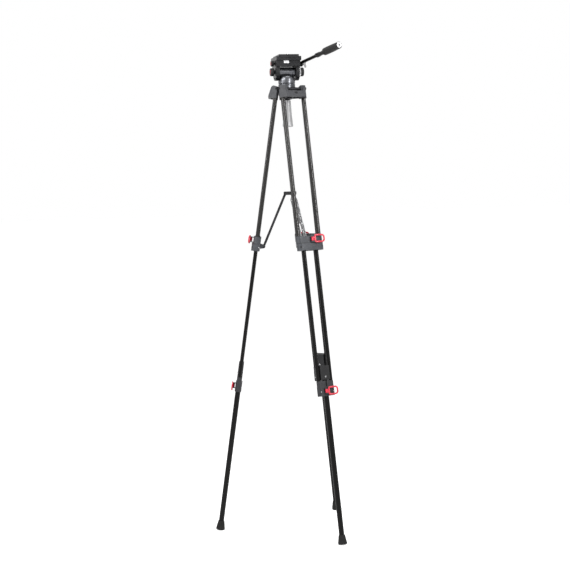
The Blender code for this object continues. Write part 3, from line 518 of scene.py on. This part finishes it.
# lock levers
def fusedMesh(name, shapes, coat, body):
    made = []
    for index, shape in enumerate(shapes):
        bmesh.ops.recalc_face_normals(shape, faces=shape.faces)
        mesh = bpy.data.meshes.new(name)
        shape.to_mesh(mesh)
        shape.free()
        made.append(bpy.data.objects.new(name if index == 0 else f"{name}_part_{index}", mesh))
        bpy.context.scene.collection.objects.link(made[-1])
    first = made[0]
    for other in made[1:]:
        join = first.modifiers.new("join", "BOOLEAN")
        join.operation, join.solver, join.object = "UNION", "EXACT", other
    bpy.context.view_layer.update()
    whole = bpy.data.meshes.new_from_object(first.evaluated_get(bpy.context.evaluated_depsgraph_get()))
    first.modifiers.clear()
    first.data = whole
    for other in made[1:]:
        bpy.data.objects.remove(other)
    whole.shade_smooth()
    whole.set_sharp_from_angle(angle=radians(40))
    whole.materials.clear()
    whole.materials.append(finishes[coat])
    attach(first, body)
    return first


lever = {"band": 0.0031, "thick": 0.0020, "corner": 0.0085, "start": 0.0085, "barrel": 0.0046,
         "barrelHalf": 0.0074, "sides": 14, "bulge": 0.12}
leverSizes = {"mid_lever": {"reach": 0.0440, "rise": 0.0125, "curl": 0.008, "inset": 0.0050},
              "lower_lever": {"reach": 0.0440, "rise": 0.0130, "curl": 0.005, "inset": 0.0050}}


def leverShapes(leg, pivot, hand, sizes):
    reach, rise, corner = sizes["reach"], sizes["rise"], lever["corner"]
    heading = leg["across"] * hand

    def at(run, high):
        part = max(0.0, run / reach)
        out = sizes["inset"] * sin(pi * min(part * 1.25, 1.0)) + sizes["curl"] * part ** 2.2
        return pivot + heading * run + leg["out"] * out + leg["up"] * high

    start = lever["start"]
    route = [(start, rise - 0.0040), (start + 0.0012, rise - 0.0012), (start + 0.0040, rise)]
    route += [(start + 0.004 + (reach - corner - start - 0.004) * step / 8, rise) for step in range(1, 9)]
    route += [(reach - corner + corner * sin(turn), rise - corner * (1 - cos(turn)))
              for turn in (pi / 2 * step / 5 for step in range(1, 6))]
    route += [(run, -high) for run, high in reversed(route)]
    path = [at(run, high) for run, high in route]
    count = len(path)
    loop = bmesh.new()
    rings = []
    for index, point in enumerate(path):
        onward = (path[(index + 1) % count] - path[index - 1]).normalized()
        outward = (leg["out"] - onward * leg["out"].dot(onward)).normalized()
        wide = onward.cross(outward)
        row = []
        for step in range(lever["sides"]):
            turn = 2 * pi * step / lever["sides"]
            swell = 1.0 + lever["bulge"] * abs(sin(2 * turn))           # squares the section a little
            row.append(point + wide * (lever["band"] * cos(turn) * swell)
                       + outward * (lever["thick"] * sin(turn) * swell))
        rings.append(row)
    loft(loop, rings, closed=True)
    barrel = bmesh.new()
    half, radius, trim, steps = lever["barrelHalf"], lever["barrel"], 0.0006, 24
    place = standOn(pivot, leg["up"])
    loft(barrel, [ring(place, radius - trim, -half, steps), ring(place, radius, -half + trim, steps),
                  ring(place, radius, half - trim, steps), ring(place, radius - trim, half, steps)])
    neck = bmesh.new()
    rows = []
    for run, high, thick in ((0.0015, 0.0062, 0.0022), (0.0050, 0.0066, 0.0022),
                             (start, rise - 0.0035, 0.0019), (start + 0.0022, rise - 0.0030, 0.0017)):
        middleSpot = at(run, 0.0) if run > 0.003 else pivot + heading * run
        rows.append([middleSpot + leg["up"] * (high * a) + leg["out"] * (thick * b)
                     for a, b in ((1, 0.6), (0.8, 1), (-0.8, 1), (-1, 0.6), (-1, -0.6), (-0.8, -1), (0.8, -1),
                                  (1, -0.6))])
    loft(neck, rows)
    return [barrel, neck, loop]


for side in sides:
    leg = legFrames[side]
    for kind, sizes in leverSizes.items():
        node = f"{side}_{kind}"
        pivot = jointPlace(node + "_flip")
        centre = middle(node)
        pivot = pivot + leg["up"] * (centre - pivot).dot(leg["up"])
        hand = 1 if (centre - pivot).dot(leg["across"]) > 0 else -1
        made = fusedMesh(node + "_loop", leverShapes(leg, pivot, hand, sizes), "red", node)
        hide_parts(node)

# dark parting line round the middle clamps
seam = {"down": 0.5810, "half": 0.054, "thick": 0.016, "shift": 0.002, "high": 0.0006,
        "proud": 0.00015, "deep": 0.97}
for side in sides:
    leg = legFrames[side]
    outline = []
    reach, straight = seam["thick"] + seam["proud"], seam["half"] - seam["thick"]
    for sign in (1, -1):
        for step in range(13):
            turn = -pi / 2 + pi * step / 12
            outline.append((seam["shift"] + sign * reach * sin(turn),
                            sign * (straight + reach * cos(turn))))
    shape = bmesh.new()
    rings = [[legSpot(side, out * scale + seam["shift"] * (1 - scale), across * scale,
                      seam["down"] + high) for out, across in outline]
             for scale, high in ((seam["deep"], -seam["high"]), (1.0, -seam["high"]),
                                 (1.0, seam["high"]), (seam["deep"], seam["high"]))]
    loft(shape, rings, closed=True)
    meshPiece(side + "_clamp_seam", shape, "black", side + "_leg_upper")
print("levers and clamp seams done")


# foot bands
footBand = {"ribs": 4, "first": 0.002, "pitch": 0.0055, "proud": 0.0007, "half": 0.0009, "sunk": 0.0012}
for side in sides:
    leg = legFrames[side]
    reach = (leg["hinge"] - middle(side + "_foot")).dot(leg["up"])
    for index in range(footBand["ribs"]):
        down = reach + footBand["first"] - footBand["pitch"] * (index - 1)
        spot, _ = landOn(side + "_foot", legSpot(side, probe["foot"], 0, down), -leg["out"])
        if spot is None:
            continue
        radius = (spot - legSpot(side, 0, 0, down)).length
        half, proud, inner = footBand["half"], footBand["proud"], radius - footBand["sunk"]
        turnedRing(f"{side}_foot_rib_{index}", standOn(legSpot(side, 0, 0, down), leg["up"]),
                   ((inner, -half), (radius + proud * 0.4, -half), (radius + proud, 0),
                    (radius + proud * 0.4, half), (inner, half)),
                   "rubber", side + "_leg_lower", steps=36)
print("foot bands done")


# head fittings
headMiddle = jointPlace("tilt")
headScrew = {"radius": 0.0034, "high": 0.0016, "socket": 0.52}


def headSpot(toSide, toFront, up):
    return headMiddle + headSide * toSide + headFront * toFront + upright * up


badge = {"side": -0.008, "up": 0.0345, "wide": 0.020, "tall": 0.0105, "thick": 0.0008, "corner": 0.0015}
spot, normal = landOn("tilt_platform", headSpot(badge["side"], probe["head"], badge["up"]), -headFront)
if spot is not None:
    facing = Matrix((headSide, upright, headFront)).transposed().to_4x4()
    if facing.determinant() < 0:
        facing = Matrix((-headSide, upright, headFront)).transposed().to_4x4()
    roundedPlate("blank_badge", Matrix.Translation(spot) @ facing, badge["wide"], badge["tall"],
                 badge["thick"], badge["corner"], "badge", "tilt")

cheekBolts = ((0.021, 0.012), (-0.021, 0.012), (0.0, -0.024))     # towards the front, and up
for sign, mark in ((1, "right"), (-1, "left")):
    for index, (front, up) in enumerate(cheekBolts):
        capScrew(f"cheek_bolt_{mark}_{index}", "tilt_platform", headSpot(probe["head"] * sign, front, up),
                 headSide * -sign, "tilt", headScrew, "cast")

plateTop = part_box("quick_release_plate")[1].z
platePad = {"wide": 0.0105, "length": 0.092, "ribs": 18, "high": 0.0007, "off": 0.0165}
for sign, mark in ((1, "right"), (-1, "left")):                   # ribbed camera pads
    shape = bmesh.new()
    count, length = platePad["ribs"], platePad["length"]
    profile = [(-length / 2, -0.0003)]
    for index in range(count):
        start = -length / 2 + length * index / count
        step = length / count
        profile += [(start + step * 0.08, 0.00025), (start + step * 0.22, platePad["high"]),
                    (start + step * 0.72, platePad["high"]), (start + step * 0.88, 0.00025)]
    profile.append((length / 2, -0.0003))
    plateMiddle = middle("quick_release_plate")
    rows = []
    for shift in (-0.5, 0.5):
        rows.append([Vector((plateMiddle.x, plateMiddle.y, plateTop)) + headSide * (
            platePad["off"] * sign + platePad["wide"] * shift) + headFront * run + upright * high
            for run, high in profile])
    loft(shape, rows)
    meshPiece("plate_pad_" + mark, shape, "rubber", "plate")

knurl = {"steps": 120, "bite": 0.00035, "inner": 0.0170, "outer": 0.0187, "half": 0.0024}
turnedRing("drag_ring_knurl", standOn(middle("drag_ring"), headSide),
           ((knurl["inner"], -knurl["half"]), (knurl["outer"], -knurl["half"]),
            (knurl["outer"], knurl["half"]), (knurl["inner"], knurl["half"])),
           "silver", "tilt", steps=knurl["steps"], wave=knurl["bite"], waved=(1, 2))

dialMark = {"count": 12, "radius": 0.0128, "length": 0.0032, "wide": 0.0007, "high": 0.00025}
dialFace = middle("drag_dial") + headSide * probe["knob"]
for index in range(dialMark["count"]):
    angle = 2 * pi * index / dialMark["count"]
    arrow = headFront * cos(angle) + upright * sin(angle)
    spot, normal = landOn("drag_dial", dialFace + arrow * dialMark["radius"], -headSide)
    if spot is None:
        continue
    shape = bmesh.new()
    beside = headSide.cross(arrow)
    wide, long = dialMark["wide"] / 2, dialMark["length"] / 2
    rows = []
    for high, trim in ((-0.0003, 1.0), (dialMark["high"] * 0.6, 1.0), (dialMark["high"], 0.8)):
        rows.append([spot + arrow * (a * long * trim) + beside * (b * wide * trim) + headSide * high
                     for a, b in ((1, 1), (-1, 1), (-1, -1), (1, -1))])
    loft(shape, rows)
    meshPiece(f"dial_mark_{index}", shape, "mark" if index in (0, 1, 11) else "badge", "drag_dial")

# coloured ring marks on the knobs at the left
knobRing = {"half": 0.0008, "sunk": -0.0004, "low": 0.0002, "top": 0.00035}
for name, body, radius in (("tilt_lock_knob", "tilt_lock", 0.0072),
                           ("plate_lock_knob", "plate_lock", 0.0052)):
    spot, normal = landOn(name, middle(name) - headSide * probe["knob"], headSide)
    if spot is not None:
        inner, outer = radius - knobRing["half"], radius + knobRing["half"]
        turnedRing(name + "_ring", standOn(spot, -headSide),
                   ((inner, knobRing["sunk"]), (inner, knobRing["low"]), (radius, knobRing["top"]),
                    (outer, knobRing["low"]), (outer, knobRing["sunk"])), "mark", body, steps=36)

# bright collar round the neck
neckRing = {"radius": 0.0226, "inner": 0.0196, "proud": 0.0012, "half": 0.0009, "up": 1.7085}
turnedRing("neck_collar", standOn(Vector((tripodAxis.x, tripodAxis.y, neckRing["up"])), upright),
           ((neckRing["inner"], -neckRing["half"]), (neckRing["radius"], -neckRing["half"]),
            (neckRing["radius"] + neckRing["proud"] * 0.5, 0), (neckRing["radius"], neckRing["half"]),
            (neckRing["inner"], neckRing["half"])), "steel", "pan", steps=64)

capCentre = {"radius": 0.0042, "high": 0.0004}
spot, normal = landOn("grip_end_cap", middle("grip_end_cap") + barLine * probe["knob"], -barLine)
if spot is not None:
    place = standOn(spot, barLine)
    shape = bmesh.new()
    loft(shape, [ring(place, capCentre["radius"], -0.0004, 32), ring(place, capCentre["radius"], 0.0001, 32),
                 ring(place, capCentre["radius"] * 0.86, capCentre["high"], 32),
                 ring(place, capCentre["radius"] * 0.3, capCentre["high"] * 0.6, 32)])
    meshPiece("grip_cap_centre", shape, "black", "grip")
print("head fittings done")


# light, floor and camera
stageLook = {"floor": (0.90, 0.90, 0.90), "lift": 0.62, "fill": 0.42, "size": 60.0}
lamps = {"key": {"place": (-2.4, -3.0, 3.3), "size": (1.6, 1.6), "power": 85.0, "aim": 1.5},
         "strip": {"place": (2.1, -2.3, 2.25), "size": (0.16, 1.2), "power": 60.0, "aim": 1.6},
         "edge": {"place": (-2.2, -1.2, 2.2), "size": (0.14, 1.1), "power": 22.0, "aim": 1.6},
         "top": {"place": (0.4, -0.6, 4.0), "size": (1.8, 1.8), "power": 45.0, "aim": 1.6}}
for name, lamp in lamps.items():
    light = bpy.data.lights.new(name + "_lamp", "AREA")
    light.shape = "RECTANGLE"
    light.size, light.size_y = lamp["size"]
    light.energy = lamp["power"]
    made = bpy.data.objects.new(name + "_lamp", light)
    made.location = lamp["place"]
    aim = Vector((tripodAxis.x, 0, lamp["aim"])) - made.location
    made.rotation_euler = aim.to_track_quat("-Z", "Y").to_euler()
    bpy.context.scene.collection.objects.link(made)


def seenDirectly(tree):
    path = addNode(tree, "ShaderNodeLightPath")
    shown = calc(tree, "MAXIMUM", path.outputs["Is Camera Ray"], path.outputs["Is Glossy Ray"])
    return calc(tree, "MAXIMUM", shown, path.outputs["Is Transmission Ray"])


world = bpy.data.worlds.new("studio")
bpy.context.scene.world = world
world.use_nodes = True
tree = world.node_tree
back = tree.nodes["Background"]
back.inputs["Color"].default_value = (1, 1, 1, 1)
tree.links.new(spread(tree, seenDirectly(tree), 0.0, 1.0, stageLook["fill"], 1.0), back.inputs["Strength"])

floorShape = bmesh.new()
bmesh.ops.create_grid(floorShape, x_segments=2, y_segments=2, size=stageLook["size"])
floorMesh = bpy.data.meshes.new("floor")
floorShape.to_mesh(floorMesh)
floorShape.free()
floor = bpy.data.objects.new("floor", floorMesh)
bpy.context.scene.collection.objects.link(floor)
floor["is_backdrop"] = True
floorCoat = bpy.data.materials.new("pale_floor")
floorCoat.use_nodes = True
tree = floorCoat.node_tree
shader = tree.nodes["Principled BSDF"]
shader.inputs["Base Color"].default_value = (*stageLook["floor"], 1.0)
shader.inputs["Roughness"].default_value = 0.9
shader.inputs["Specular IOR Level"].default_value = 0.1
shader.inputs["Emission Color"].default_value = (1, 1, 1, 1)
glow = calc(tree, "MULTIPLY", seenDirectly(tree), stageLook["lift"])
tree.links.new(glow, shader.inputs["Emission Strength"])
floorMesh.materials.append(floorCoat)

cameraView = {"off": (-0.0434, -4.9688, 1.3028), "pitch": -0.0742, "yaw": 0.00293, "roll": -0.0298,
              "lens": 83.22, "sensor": 36.0}
yaw, pitch, roll = cameraView["yaw"], cameraView["pitch"], cameraView["roll"]
rightward = Vector((cos(yaw), -sin(yaw), 0))
upward = Vector((-sin(yaw) * sin(pitch), -cos(yaw) * sin(pitch), cos(pitch)))
onward = Vector((sin(yaw) * cos(pitch), cos(yaw) * cos(pitch), sin(pitch)))
turnedRight = rightward * cos(roll) + upward * sin(roll)
turnedUp = upward * cos(roll) - rightward * sin(roll)
cameraData = bpy.data.cameras.new("main_camera")
cameraData.lens = cameraView["lens"]
cameraData.sensor_width = cameraView["sensor"]
cameraData.clip_end = 200
camera = bpy.data.objects.new("main_camera", cameraData)
bpy.context.scene.collection.objects.link(camera)
pose = Matrix((turnedRight, turnedUp, -onward)).transposed().to_4x4()
pose.translation = Vector(cameraView["off"]) + Vector((tripodAxis.x, tripodAxis.y, 0))
camera.matrix_world = pose
bpy.context.scene.camera = camera
bpy.context.scene.view_settings.view_transform = "Standard"
print("light and camera ready")
